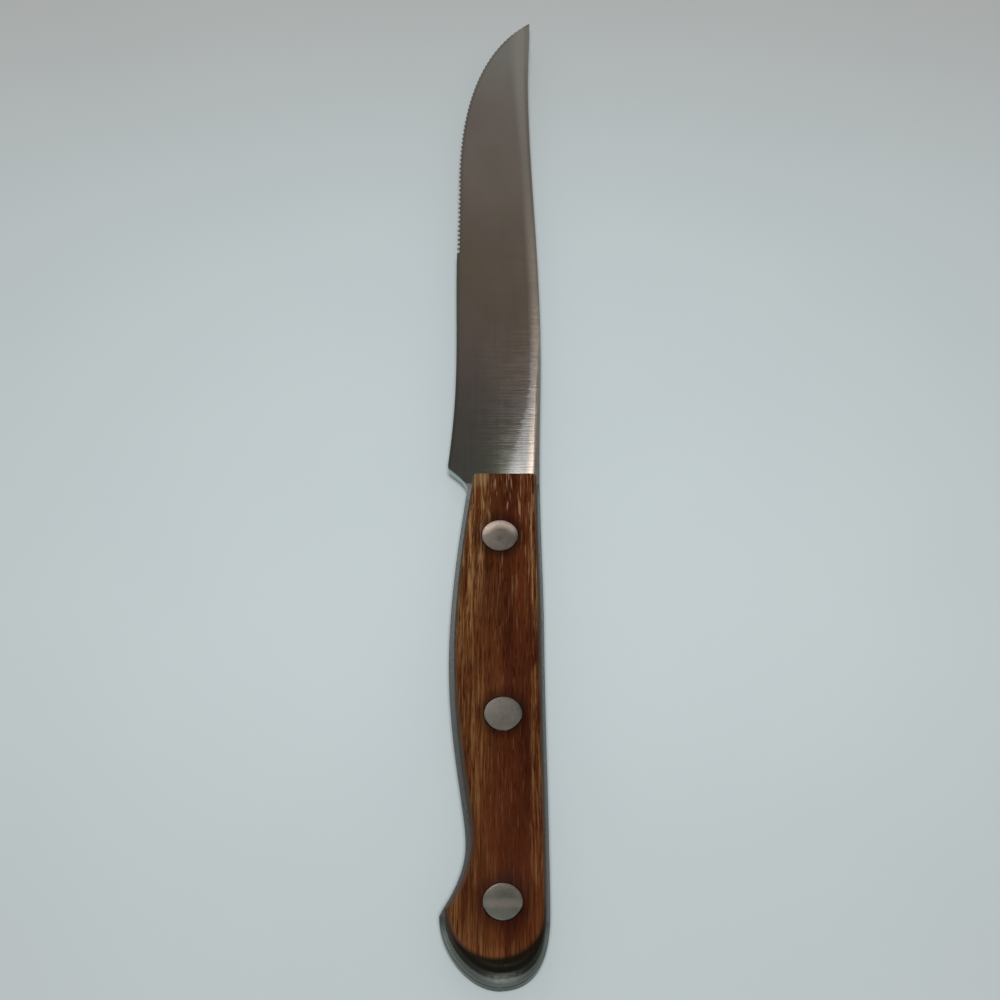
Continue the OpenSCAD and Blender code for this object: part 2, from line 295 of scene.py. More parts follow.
class Side:
    """One side of the knife's outline as a fine line that always moves towards the point."""

    def __init__(self, curves):
        points = [bend(s, i / CURVE_STEPS) for s in curves for i in range(CURVE_STEPS)]
        self.points = points + [curves[-1][-1]]
        self.alongs = [p[0] for p in self.points]
        self.runs = [0]
        for a, b in zip(self.points, self.points[1:]):
            self.runs.append(self.runs[-1] + math.dist(a, b))

    def _step(self, values, x):
        """The step of the line that x falls in, and the share of it before x."""
        i = clamp(bisect.bisect_right(values, x) - 1, 0, len(values) - 2)
        return i, (x - values[i]) / max(values[i + 1] - values[i], TINY)

    def _at(self, values, x):
        """The point where values come to x, and the line's direction there."""
        i, t = self._step(values, x)
        point = between(self.points[i], self.points[i + 1], t, t)
        before = self.points[max(i - 1, 0)]
        after = self.points[min(i + 2, len(self.points) - 1)]
        return point, unit((after[0] - before[0], after[1] - before[1]))

    def at_along(self, along):
        return self._at(self.alongs, along)

    def at_run(self, run):
        return self._at(self.runs, run)

    def run_of(self, along):
        i, t = self._step(self.alongs, along)
        return self.runs[i] + t * (self.runs[i + 1] - self.runs[i])


BACK = Side(HANDLE_BACK_CURVES + BLADE_BACK_CURVES)
EDGE = Side(HANDLE_EDGE_CURVES + HEEL_CURVES + CUTTING_CURVES)


def hollow_at(p):
    """Depth of the hollow on one face of the blade at a place in the plan."""
    deep = HEEL_HOLLOW + (TIP_HOLLOW - HEEL_HOLLOW) * (p[0] - HANDLE_L) / BLADE_L
    depth = deep - WHEEL_R + math.sqrt(WHEEL_R**2 - (p[1] - HOLLOW_W) ** 2)
    return max(0, depth) * smooth((p[0] - HANDLE_L - HOLLOW_START) / HOLLOW_RUN)


def grind_line(along):
    """Distance from the back line to the line where the hollow meets the flat strip."""
    deep = HEEL_HOLLOW + (TIP_HOLLOW - HEEL_HOLLOW) * (along - HANDLE_L) / BLADE_L
    return HOLLOW_W - math.sqrt(WHEEL_R**2 - (WHEEL_R - deep) ** 2)


# The toothed part of the edge, as runs along it
TEETH_RUN = EDGE.run_of(TEETH_START)
END_RUN = EDGE.runs[-1]
GULLET_COUNT = int((END_RUN - TIP_PLAIN - TEETH_RUN) / TOOTH_PITCH) + 1


class Gullet:
    """One gullet between two teeth, left by a leaning round cutter."""

    def __init__(self, index):
        self.run = TEETH_RUN + index * TOOTH_PITCH
        share = (END_RUN - self.run) / (END_RUN - TEETH_RUN)
        depth = TOOTH_LEAST + (TOOTH_DEPTH - TOOTH_LEAST) * share**2
        self.spot, self.way = EDGE.at_run(self.run)
        self.inward = (self.way[1], -self.way[0])
        self.top = STEEL_T - hollow_at(self.spot)
        self.out = GULLET_R / math.cos(GULLET_LEAN) - depth
        self.half = math.sqrt(GULLET_R**2 - (self.out * math.cos(GULLET_LEAN)) ** 2)

    def notch(self, off):
        """How deep the outline is cut at a distance off the middle, along the edge."""
        if abs(off) >= self.half:
            return 0
        return math.sqrt(GULLET_R**2 - off**2) / math.cos(GULLET_LEAN) - self.out

    def scoop(self, p):
        """Height above the under face to which the cutter hollows the blade at p."""
        to_p = (p[0] - self.spot[0], p[1] - self.spot[1])
        off = dot(to_p, self.way)
        if abs(off) >= GULLET_R:
            return 0
        outside = -dot(to_p, self.inward) - self.out
        rise = outside * math.cos(GULLET_LEAN) + math.sqrt(GULLET_R**2 - off**2)
        return self.top + rise / math.sin(GULLET_LEAN)


GULLETS = [Gullet(index) for index in range(GULLET_COUNT)]


def scoop_height(p, run):
    """Height above the under face to which the nearest gullets hollow the blade at p."""
    nearest = round((run - TEETH_RUN) / TOOTH_PITCH)
    near = [k for k in (nearest - 1, nearest, nearest + 1) if 0 <= k < GULLET_COUNT]
    return max([GULLETS[k].scoop(p) for k in near], default=0)


class Station:
    """A line across the blade, from a point of its back to a point of its edge."""

    def __init__(self, back, edge, run, notch=0):
        self.back, back_way = back
        self.base, edge_way = edge
        self.back_in = (-back_way[1], back_way[0])
        self.edge_in = (edge_way[1], -edge_way[0])
        self.run = run
        self.notch = notch
        self.edge = moved(self.base, self.edge_in, notch)
        self.along = self.base[0]
        self.wide = math.dist(self.back, self.base)

    def bevel_height(self):
        grown = clamp((self.along - HEEL[0]) / BEVEL_RUN, 0, 1)
        return grown * (STEEL_T - EDGE_T - hollow_at(self.base))

    def top(self, p):
        return STEEL_T - hollow_at(p)

    def under(self, p):
        inward = dot((p[0] - self.base[0], p[1] - self.base[1]), self.edge_in)
        height = max(hollow_at(p), self.bevel_height() - inward * BEVEL_SLOPE)
        if self.run is not None:
            height = max(height, scoop_height(p, self.run))
        return min(height, self.top(p) - THINNEST)

    def edge_gap(self, p):
        """How far p lies inside the cutting edge, or far off it on the tang."""
        if self.along < HEEL[0]:
            return FAR
        return dot((p[0] - self.edge[0], p[1] - self.edge[1]), self.edge_in)

    def shares(self):
        """Places across the blade, as shares of its width, close together where its faces turn."""
        w = max(self.edge[1] - self.back[1], LEAST_W)
        leaning_w = w * max(abs(self.edge_in[1]), LEAST_LEAN)
        on_blade = smooth((self.along - HANDLE_L) / HEEL_L)
        to_grind = grind_line(max(self.along, HANDLE_L)) - self.back[1]
        grind = clamp(to_grind / w, *GRIND_BOUNDS)
        bevel_w = (self.bevel_height() - hollow_at(self.base)) / BEVEL_SLOPE
        bevel = clamp(1 - max(bevel_w, BEVEL_REACH) / leaning_w, grind + BEVEL_AFTER, BEVEL_BOUND)
        near = clamp(1 - TEETH_REACH / leaning_w, bevel + TEETH_AFTER, TEETH_BOUND)
        grind, bevel, near = (
            a + (b - a) * on_blade for a, b in zip(TANG_STOPS, (grind, bevel, near))
        )
        line = LINE_HALF / w if w > LINE_LEAST_W else 0
        stops = (0, grind - line, grind + line, bevel, near, 1)
        places = []
        for a, b, count in zip(stops, stops[1:], ACROSS_STEPS):
            places += [a + (b - a) * i / count for i in range(count)]
        return places + [1], near

    def ring(self):
        """The blade's section here, as (along, across, height) points round it."""
        small = BREAK_SHARE * self.wide
        back_break = min(BACK_BREAK, small)
        edge_break = min(EDGE_BREAK if self.edge_gap(self.edge) < FAR else BACK_BREAK, small)
        thick = self.top(self.edge) - self.under(self.edge)
        edge_drop = min(edge_break, thick * THIRD)
        first = moved(self.back, self.back_in, back_break)
        last = moved(self.base, self.edge_in, edge_break)
        shares, near = self.shares()
        across = []
        for share in shares:
            give = smooth((share - near) / (1 - near))
            p = between(first, last, share, share)
            across.append(moved(p, self.edge_in, self.notch * give))
        top = [(*p, self.top(p)) for p in across]
        under = [(*p, self.under(p)) for p in reversed(across)]
        edge_side = [
            (*self.edge, self.top(self.edge) - edge_drop),
            (*self.edge, self.under(self.edge) + edge_drop),
        ]
        back_side = [
            (*self.back, self.under(self.back) + back_break),
            (*self.back, self.top(self.back) - back_break),
        ]
        return top + edge_side + under + back_side


def stations():
    """The stations of the blade and the tang, from the butt to the point."""
    made = []

    def plain(along):
        made.append(Station(BACK.at_along(along), EDGE.at_along(along), None))

    for i in range(BUTT_STEPS):
        plain(NOSE[0] * (i / BUTT_STEPS) ** 2)
    for a, b, count in ((NOSE, FOOT, GRIP_STEPS), (FOOT, HEEL, NOTCH_STEPS)):
        for i in range(count):
            plain(a[0] + (b[0] - a[0]) * i / count)
    first_run = TEETH_RUN - TOOTH_PITCH / 2
    heel_run = EDGE.run_of(HEEL[0])
    runs = [(heel_run + (first_run - heel_run) * i / EDGE_STEPS, 0) for i in range(EDGE_STEPS)]
    for gullet in GULLETS:
        for share in GULLET_SHARES:
            off = share * gullet.half
            runs.append((gullet.run + off, gullet.notch(off)))
    last_run = GULLETS[-1].run + GULLETS[-1].half
    runs += [(last_run + (END_RUN - last_run) * i / TIP_STEPS, 0) for i in range(1, TIP_STEPS + 1)]
    for run, notch in runs:
        edge = EDGE.at_run(run)
        back = BACK.at_along(edge[0][0])
        made.append(Station(back, edge, run if run > first_run else None, notch))
    return made


def place(along, across, height):
    """A plan place and a height above the floor, as a point in the CAD frame."""
    x = POMMEL_W / 2 - across
    return Vector((x, along - OVERALL_L / 2, height)) * MM


def finished(mesh, name, cad_node):
    """A piece that stands for a CAD node, smooth but for its sharp edges."""
    bmesh.ops.remove_doubles(mesh, verts=mesh.verts, dist=SAME_POINT)
    bmesh.ops.dissolve_degenerate(mesh, edges=mesh.edges, dist=SAME_POINT)
    bmesh.ops.recalc_face_normals(mesh, faces=mesh.faces)
    data = bpy.data.meshes.new(name)
    mesh.to_mesh(data)
    mesh.free()
    data.shade_smooth()
    data.set_sharp_from_angle(angle=SHARP_ANGLE)
    piece = bpy.data.objects.new(name, data)
    bpy.context.scene.collection.objects.link(piece)
    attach(piece, "root")
    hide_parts(cad_node)
    return piece


def loft(mesh, rings):
    """Faces between rings of vertices."""
    for a, b in zip(rings, rings[1:]):
        for i in range(len(a)):
            j = (i + 1) % len(a)
            mesh.faces.new((a[i], a[j], b[j], b[i]))


def gap_to_butt(p):
    """Distance from a place in the plan to the outline of the round butt, or far off it."""
    if p[0] > NOSE[0]:
        return FAR
    near = [q for side in (BACK, EDGE) for q in side.points[:CURVE_STEPS]]
    return min(math.dist(p, q) for q in near)


def make_blade():
    """The blade with its tang, which carries distances for its material to use."""
    mesh = bmesh.new()
    names = ("edge_gap", "grind_gap", "back_gap", "butt_gap")
    edge_gap, grind_gap, back_gap, butt_gap = map(mesh.verts.layers.float.new, names)
    rings = []
    for station in stations():
        rings.append([])
        for a, w, h in station.ring():
            vert = mesh.verts.new(place(a, w, SCALE_T + h))
            vert[edge_gap] = station.edge_gap((a, w))
            vert[grind_gap] = w - grind_line(a) if a > HANDLE_L else FAR
            vert[back_gap] = w - station.back[1]
            vert[butt_gap] = gap_to_butt((a, w))
            rings[-1].append(vert)
    loft(mesh, rings)
    return finished(mesh, "blade_finish", "blade")


def scale_plan(drawn_in, front):
    """Plan of a scale from its front along the back, round the butt and along the edge side.

    It is drawn in by its bare margins and drawn_in more, and its front is drawn back by front."""
    back, edge = (
        [bend(s, i / SCALE_STEPS) for s in curves for i in range(SCALE_STEPS)]
        for curves in (HANDLE_BACK_CURVES, HANDLE_EDGE_CURVES)
    )
    path = [THROAT] + back[::-1] + edge[1:] + [FOOT]
    moved_path = []
    for i, p in enumerate(path):
        a = path[max(i - 1, 0)]
        b = path[min(i + 1, len(path) - 1)]
        d = unit((b[0] - a[0], b[1] - a[1]))
        margin = BACK_MARGIN if d[0] < 0 else SCALE_MARGIN
        end = BUTT_MARGIN + drawn_in
        moved_path.append((p[0] + d[1] * end, p[1] - d[0] * (margin + drawn_in)))
    line = HANDLE_L - front
    back_side, edge_side = moved_path[0][1], moved_path[-1][1]
    inner = [p for p in moved_path[1:-1] if p[0] < line - CORNER_ROUND]
    turns = [math.pi / 2 * i / ROUND_STEPS for i in range(ROUND_STEPS + 1)]
    cuts = [(CORNER_ROUND * (1 - math.sin(a)), CORNER_ROUND * (1 - math.cos(a))) for a in turns]
    edge_corner = [(line - into, edge_side - off) for into, off in cuts]
    back_corner = [(line - into, back_side + off) for into, off in reversed(cuts)]
    return inner + edge_corner + back_corner


def circle(centre, radius, height):
    """Points of a level circle, in metres."""
    turns = [2 * math.pi * i / CIRCLE_STEPS for i in range(CIRCLE_STEPS)]
    x, y = centre
    spots_round = [(x + radius * math.cos(a), y + radius * math.sin(a)) for a in turns]
    return [Vector((*spot, height)) * MM for spot in spots_round]


def loop_edges(mesh, ring):
    """The edges round a ring of vertices, made where they are missing."""
    pairs = zip(ring, ring[1:] + ring[:1])
    return [mesh.edges.get(pair) or mesh.edges.new(pair) for pair in pairs]


def rivet_centres():
    """Plan places of the three rivets, as X and Y in millimetres, from the front."""
    boxes = [box_mm(name + "_rivet_tube") for name in ("front", "middle", "rear")]
    return [((low.x + high.x) / 2, (low.y + high.y) / 2) for low, high in boxes]


def make_scale(name, cad_node, upper):
    """A scale whose flat faces are filled round the rivet holes."""
    mesh = bmesh.new()
    inner = SCALE_T + STEEL_T if upper else SCALE_T
    outward = 1 if upper else -1

    def height(z):
        return inner + outward * z

    rings = []
    for i in range(ROUND_STEPS, -1, -1):
        a = math.pi / 2 * i / ROUND_STEPS
        d = SCALE_ROUND * (1 - math.cos(a))
        f = FRONT_ROUND * (1 - math.cos(a))
        z = SCALE_T - SCALE_ROUND * (1 - math.sin(a))
        rings.append([mesh.verts.new(place(*p, height(z))) for p in scale_plan(d, f)])
    rings.append([mesh.verts.new(place(*p, height(0))) for p in scale_plan(0, 0)])
    loft(mesh, rings)
    outer_loops = loop_edges(mesh, rings[0])
    inner_loops = loop_edges(mesh, rings[-1])
    for centre in rivet_centres():
        bore = HEAD_D / 2 + HEAD_GAP
        ledge = SCALE_T - HEAD_T - HEAD_SINK
        step = HOLE_BREAK * BREAK_STEP
        sizes = [
            (bore + HOLE_BREAK, SCALE_T),
            (bore + step, SCALE_T - step),
            (bore, SCALE_T - HOLE_BREAK),
            (bore, ledge),
            (TUBE_D / 2 + TUBE_GAP, ledge),
            (TUBE_D / 2 + TUBE_GAP, 0),
        ]
        hole = [[mesh.verts.new(v) for v in circle(centre, r, height(z))] for r, z in sizes]
        loft(mesh, hole)
        outer_loops += loop_edges(mesh, hole[0])
        inner_loops += loop_edges(mesh, hole[-1])
    for loops in (outer_loops, inner_loops):
        bmesh.ops.triangle_fill(mesh, use_beauty=True, use_dissolve=False, edges=loops)
    return finished(mesh, name, cad_node)


def lathe(name, cad_node, centre, profile):
    """A turned piece with the (radius, height) points of profile, from its upper middle down."""
    mesh = bmesh.new()
    rings = []
    for radius, z in profile:
        if radius:
            rings.append([mesh.verts.new(v) for v in circle(centre, radius, z)])
        else:
            rings.append([mesh.verts.new(Vector((*centre, z)) * MM)] * CIRCLE_STEPS)
    for a, b in zip(rings, rings[1:]):
        for i in range(CIRCLE_STEPS):
            j = (i + 1) % CIRCLE_STEPS
            mesh.faces.new(list(dict.fromkeys((a[i], a[j], b[j], b[i]))))
    return finished(mesh, name, cad_node)


def head_face(top, up):
    """The crowned outer face of a rivet head, from its middle to its rounded rim."""
    flat = HEAD_D / 2 - HEAD_BREAK
    made = [(flat * share, top - up * HEAD_CROWN * share**2) for share in HEAD_SHARES]
    for turn in HEAD_TURNS:
        a = math.radians(turn)
        drop = HEAD_CROWN + HEAD_BREAK * (1 - math.cos(a))
        made.append((flat + HEAD_BREAK * math.sin(a), top - up * drop))
    return made


def make_rivet(which, centre):
    """The tube half and the pin half of one rivet."""
    seat = TUBE_HIGH.z - HEAD_T
    end = seat - TUBE_L
    tube = head_face(TUBE_HIGH.z, 1) + [
        (HEAD_D / 2, seat),
        (TUBE_D / 2, seat),
        (TUBE_D / 2, end),
        (PIN_D / 2 + PIN_GAP, end),
        (PIN_D / 2 + PIN_GAP, seat),
        (0, seat),
    ]
    low = PIN_LOW.z
    pin = head_face(low, -1) + [
        (HEAD_D / 2, low + HEAD_T),
        (PIN_D / 2, low + HEAD_T),
        (PIN_D / 2, low + HEAD_T + PIN_L - HEAD_BREAK),
        (PIN_D / 2 - HEAD_BREAK, low + HEAD_T + PIN_L),
        (0, low + HEAD_T + PIN_L),
    ]
    return (
        lathe(which + "_rivet_tube_finish", which + "_rivet_tube", centre, tube),
        lathe(which + "_rivet_pin_finish", which + "_rivet_pin", centre, pin),
    )


def new_material(name):
    made = bpy.data.materials.new(name)
    made.use_nodes = True
    return made, made.node_tree.nodes["Principled BSDF"]


def fill(mat, made, inputs):
    """Values and links for a node's inputs."""
    for key, value in inputs.items():
        if isinstance(value, bpy.types.NodeSocket):
            mat.node_tree.links.new(value, made.inputs[key])
        else:
            made.inputs[key].default_value = value


def node(mat, kind, inputs=None, **settings):
    made = mat.node_tree.nodes.new(kind)
    for key, value in settings.items():
        setattr(made, key, value)
    fill(mat, made, inputs or {})
    return made


def object_mm(mat):
    """A piece's own coordinates in millimetres, as a vector and as its three parts."""
    coords = node(mat, "ShaderNodeTexCoord").outputs["Object"]
    settings = {0: coords, "Scale": 1 / MM}
    vector = node(mat, "ShaderNodeVectorMath", settings, operation="SCALE").outputs[0]
    return vector, node(mat, "ShaderNodeSeparateXYZ", {0: vector}).outputs


def spots(mat, coords, scale, detail=3, rough=0.55, shift=0):
    """A noise with scale repeats for each millimetre along X, Y and Z."""
    settings = {"Vector": coords, "Location": (shift, shift, shift), "Scale": scale}
    stretched = node(mat, "ShaderNodeMapping", settings).outputs[0]
    settings = {"Vector": stretched, "Scale": 1, "Detail": detail, "Roughness": rough}
    return node(mat, "ShaderNodeTexNoise", settings).outputs["Fac"]


def ramp(mat, value, stops):
    made = node(mat, "ShaderNodeValToRGB", {"Fac": value})
    parts = made.color_ramp.elements
    while len(parts) < len(stops):
        parts.new(MIDDLE)
    for part, (at, colour) in zip(parts, stops):
        part.position = at
        part.color = (*colour, 1)
    return made.outputs["Color"]


def grey(mat, value):
    """A number as a grey that may be brighter than white."""
    return node(mat, "ShaderNodeCombineColor", {0: value, 1: value, 2: value}).outputs[0]


def level(mat, value, low, high, to_low=0, to_high=1, way="SMOOTHSTEP"):
    """value moved smoothly from low..high to to_low..to_high, and held outside them."""
    settings = {"Value": value, 1: low, 2: high, 3: to_low, 4: to_high}
    made = node(mat, "ShaderNodeMapRange", settings, clamp=True, interpolation_type=way)
    return made.outputs[0]


def slope(mat, value, low, high, to_low=0, to_high=1):
    """The same in a straight line."""
    return level(mat, value, low, high, to_low, to_high, "LINEAR")


def maths(mat, how, a, b=0):
    return node(mat, "ShaderNodeMath", {0: a, 1: b}, operation=how).outputs[0]


def centred(mat, noise):
    """A noise as a push either way from nothing."""
    return maths(mat, "SUBTRACT", noise, MIDDLE)


def product(mat, *parts):
    """The parts times each other, where a (value, fade) pair stands for its level on that fade."""
    parts = [level(mat, p[0], *p[1]) if isinstance(p, tuple) else p for p in parts]
    made = parts[0]
    for part in parts[1:]:
        made = maths(mat, "MULTIPLY", made, part)
    return made


def blend(mat, a, b, *parts, how="MIX"):
    """Colour a moved towards b, or towards b laid over it another way, by the product of parts."""
    if not isinstance(b, bpy.types.NodeSocket):
        b = (*b, 1)
    share_input, a_input, b_input, colour_output = 0, 6, 7, 2
    inputs = {share_input: product(mat, *parts), a_input: a, b_input: b}
    made = node(mat, "ShaderNodeMix", inputs, data_type="RGBA", blend_type=how)
    return made.outputs[colour_output]


def tinted(mat, colour, tint, *parts):
    """colour times tint, as far as the product of parts says."""
    return blend(mat, colour, tint, *parts, how="MULTIPLY")


def bump(mat, height, depth_mm):
    settings = {"Height": height, "Strength": 1, "Distance": depth_mm * MM}
    return node(mat, "ShaderNodeBump", settings).outputs[0]


def distance(mat, coords, centre):
    """Distance in millimetres from the line through a plan place, straight up."""
    settings = {0: coords, 1: (1, 1, 0)}
    flat = node(mat, "ShaderNodeVectorMath", settings, operation="MULTIPLY").outputs[0]
    settings = {0: flat, 1: (*centre, 0)}
    return node(mat, "ShaderNodeVectorMath", settings, operation="DISTANCE").outputs["Value"]


def attribute(mat, name):
    """A distance that the mesh carries."""
    return node(mat, "ShaderNodeAttribute", attribute_name=name).outputs["Fac"]


# Looks of the steel. A fade is (from, to), or (from, to, value at from, value at to): along X or Y
# where its name ends so, else off a line or over a noise, with all lengths in millimetres.
# A noise is its repeats for each millimetre along X, Y and Z. A tint multiplies the colour.
BRUSH_LINES = (0.05, 4.2, 0.3)
STEEL_CLOUDS = (0.12, 0.06, 0.05)
TINT_CLOUDS = (0.07, 0.05, 0.05)
DRAG_MARKS = (1.3, 0.07, 0.3)
SCORES = (0.18, 3.1, 0.3)
BRUSHED_Y = (70, 5)
LINE_STRENGTHS = (0, 1, 0.1, 0.4)
CLOUD_STRENGTH = 0.3
DRAG_STRENGTH = 0.3
GREENISH_FADE, GREENISH_TINT = (0.52, 0.66), (0.98, 1, 0.94)
REDDISH_FADE, REDDISH_TINT = (0.48, 0.34), (1, 0.965, 1.02)
EDGE_FADE, EDGE_TINT = (0.8, 0.5), (0.8, 0.86, 0.84)

# Colours of the blade from its heel end to its point, as shares of the way; the darkening towards
# the heel is a painted reflection
BLADE_Y = (-12, 115)
STEEL_ALONG = [
    (0.05, (0.18, 0.168, 0.145)),
    (0.15, (0.218, 0.188, 0.162)),
    (0.25, (0.262, 0.21, 0.172)),
    (0.45, (0.312, 0.245, 0.19)),
    (0.62, (0.38, 0.312, 0.26)),
    (0.8, (0.42, 0.347, 0.3)),
    (0.92, (0.514, 0.486, 0.425)),
]

# Painted reflection: a lighter strip along the front of the back, which widens towards the point
STRIP_WIDENS_Y = (72, 106, 1, 0.55)
STRIP_BACK_FADE, STRIP_EDGE_FADE = (0.3, 0.9), (2.7, 1.3)
STRIP_Y, STRIP_POINT_Y = (35, 65), (62, 112, 0.35, 1)
STRIP_REFLECTION_COLOUR = (0.63, 0.58, 0.51)

# Flat strip behind the grind line, and the painted highlight of a bright line on the back of the
# blade's middle
FLAT_FADE, FLAT_Y, FLAT_SHARE_Y = (0.05, -0.05), (60, 30), (-12, 12, 0.62, 0.9)
FLAT_COLOUR = (0.52, 0.46, 0.39)
RISE_FADE, RISE_BACK_FADE, RISE_SHARE = (2.7, 0.9), (0.1, 0.7, 0.55, 1), 0.74
RISE_Y, RISE_END_Y = (8, 30), (75, 45)
BACK_HIGHLIGHT_COLOUR = (0.68, 0.57, 0.47)

# Painted highlight: a wedge of lamp light on the hollow, with its foot at the scale's front, cooler
# in its middle and with a peach rim by the grind line, and painted shade on the hollow round it
HOLLOW_FADE, HOLLOW_Y = (-0.05, 0), (45, 10)
WEDGE_JAGS = 4
WEDGE_WIDE_Y, WEDGE_NARROW_Y = (-11.3, 9, 6.3, 1.8), (0, 25, 2.6, 0.8)
WEDGE_FADE, WEDGE_SHARE_Y = (1.1, 0.7), (-12, 16, 0.02, 0.5)
FAR_SIDE_FADE, FAR_SIDE_Y, FAR_SIDE_SHARE = (0.8, 3.4), (10, -3), 0.2
WEDGE_HIGHLIGHT_COLOUR = (0.53, 0.51, 0.48)
BESIDE_Y, BESIDE_SHADE_TINT = (24, 2), (0.86, 0.87, 0.86)
COOL_FADE, COOL_HIGHLIGHT_TINT = (0.5, 1.6), (0.97, 1, 1.04)
PEACH_FADE, PEACH_SHARE, PEACH_HIGHLIGHT_COLOUR = (1.7, 0.3), 0.48, (0.57, 0.44, 0.33)

# Tang, round butt and side walls, in painted reflection and painted shade: a greyer tang, darker at
# its left, a paler butt with a darker rim, and lighter side walls, darker along the handle and at
# the butt
TANG_Y, TANG_REFLECTION_COLOUR = (-10, -16), (0.292, 0.313, 0.3)
TANG_LEFT_X, TANG_LEFT_SHADE_TINT = (1, -3), (0.62, 0.6, 0.6)
BUTT_Y, BUTT_REFLECTION_COLOUR = (-102, -106), (0.54, 0.57, 0.54)
RIM_FADE, RIM_TINT = (1, 0.6), (0.62, 0.7, 0.66)
WALL_FADE, WALL_REFLECTION_COLOUR = (0.9, 0.6), (0.4, 0.45, 0.45)
HANDLE_WALL_Y, HANDLE_WALL_SHADE_TINT = (-12, -14), (0.42, 0.43, 0.42)
BUTT_WALL_Y, BUTT_WALL_SHADE_TINT = (-103, -109), (0.33, 0.37, 0.32)
TANG_ROUGH = 0.27
BLADE_ROUGH = (0.38, 0.62, 0.08, 0.125)
SCORE_STRENGTHS = (0, 1, 0.1, 1)
SCORE_DEPTH = 0.004

# Looks of the wood, in the same terms
SWAY = (0.05, 0.014, 0.1)
SWAY_REACH = 2.4
BROAD_FIGURE = (0.3, 0.025, 0.2)
STREAKS = (1.9, 0.055, 0.6)
HAIRS = (4.6, 0.12, 1.3)
PORES = (4.6, 0.26, 1.6)
PATCHES = (0.1, 0.06, 0.1)
FLECKS = (2.8, 0.17, 1)
WOOD_BROAD = [
    (0.35, (0.05, 0.0125, 0.0028)),
    (0.5, (0.076, 0.0205, 0.0048)),
    (0.66, (0.106, 0.032, 0.0078)),
]

# Where the wood is streaked: its left side, a stripe along its right edge, and the palest figure
LEFT_X, STRIPE_X = (0.3, -5), (6.2, 7)
PATCH_FADE, STRIPE_Y = (0.47, 0.56), (-48, -38)
ZONE_SHARE = 0.9
FIGURE_X, FIGURE_FADE = (3, -1, 0.75, 1), (0.42, 0.66, 0.03, 0.3)

RIGHT_TURN_Y, RIGHT_X, RIGHT_TINT = (-60, -85, 0, 2), (-0.5, 3), (0.72, 0.54, 0.52)
WARM_FADE, WARM_SHARE, WARM_COLOUR = (0.38, 0.56), 0.8, (0.102, 0.037, 0.0095)
GAP_FADE, GAP_SHARE, GAP_TINT = (0.47, 0.4), 0.6, (0.6, 0.48, 0.48)
GOLD_FADE, GOLD_Y, GOLD_COLOUR = (0.53, 0.61), (-50, -16, 0.32, 1), (0.28, 0.15, 0.058)
HAIR_FADE, HAIR_STREAK_FADE, HAIR_SHARE = (0.54, 0.64), (0.42, 0.56), 0.1
HAIR_Y, HAIR_COLOUR = (-60, -18, 0.3, 0.95), (0.28, 0.17, 0.075)
PORE_FADE, PORE_Y, PORE_TINT = (0.54, 0.64), (-92, -70, 0.45, 1), (0.5, 0.38, 0.34)
FLECK_FADE, FLECK_Y, FLECK_COLOUR = (0.6, 0.68), (-46, -18, 0.12, 0.7), (0.27, 0.15, 0.08)

# Pale patch at the front left corner
CORNER_MIDDLE, CORNER_FADE = (-3.9, -12.2), (3.4, 1)
CORNER_STREAK_FADE, CORNER_SHARE, CORNER_COLOUR = (0.4, 0.56), 0.95, (0.26, 0.16, 0.075)

# Dark stain round each rivet, from the front
STAIN_REACHES = (7, 7, 8)
STAIN_FULL, STAIN_SWAY, STAIN_SHARE, STAIN_TINT = 4.4, 2, 0.9, (0.42, 0.36, 0.4)

# Round end: the middle of its pale face, the warm ring in it, and the near-black band beyond it,
# partly stained end grain and partly painted shade
BUTT_FACE = (0.34, -102.7)
RING_FADE, RING_Y, RING_STREAK_FADE = (5, 7.6), (-95, -103), (0.4, 0.58)
RING_SHARE, RING_COLOUR = 0.3, (0.19, 0.085, 0.024)
END_STAIN_SHADE_FADE, END_STAIN_SHADE_Y, END_STAIN_SHADE_X = (8, 9), (-99, -104.5), (-8.8, -6, 0.6, 0.96)
END_STAIN_SHADE_RAGS, END_STAIN_SHADE_COLOUR = 0.5, (0.003, 0.003, 0.001)

# Rounded sides, darkened by painted shade that fades in over the first tenths of a millimetre below
# the flat faces
FLANK_FADE, FLANK_Y, FLANK_SHADE_COLOUR = (0.15, 0.6), (-12, -30, 0.45, 0.8), (0.06, 0.046, 0.034)
# Painted light: on the left rounded side near the butt the painted shade is weaker and the upper
# rounding paler
LIT_LEFT_X, LIT_LEFT_Y, LIT_LEFT_FLANK = (-3, -6), (-82, -92), (0, 1, 1, 0.7)
LIT_LEFT_FADE, LIT_LEFT_SHARE, LIT_LEFT_COLOUR = (0.02, 0.2), 0.6, (0.12, 0.062, 0.043)
WOOD_ROUGH, WOOD_GLOSS = (0.3, 0.7, 0.45, 0.6), 0.06
PORE_DENT_FADE, PORE_DENT, GRAIN_DEPTH = (0.55, 0.68), 0.5, 0.05

# Looks of the rivet heads, in the same terms; fades over the head are off its middle
RIVET_CLOUDS = (0.5, 0.5, 0.5)
RIVET_LINES = (0.35, 7, 1)
RIVET_PITS = (4.5, 4.5, 4.5)
RIVET_MOTTLE = (1.7, 1.7, 1.7)
CLOUD_PART, LINE_PART = 0.65, 0.35
TONE_STOPS, TONE_RANGE = (0.36, 0.64), (0.92, 1.08)
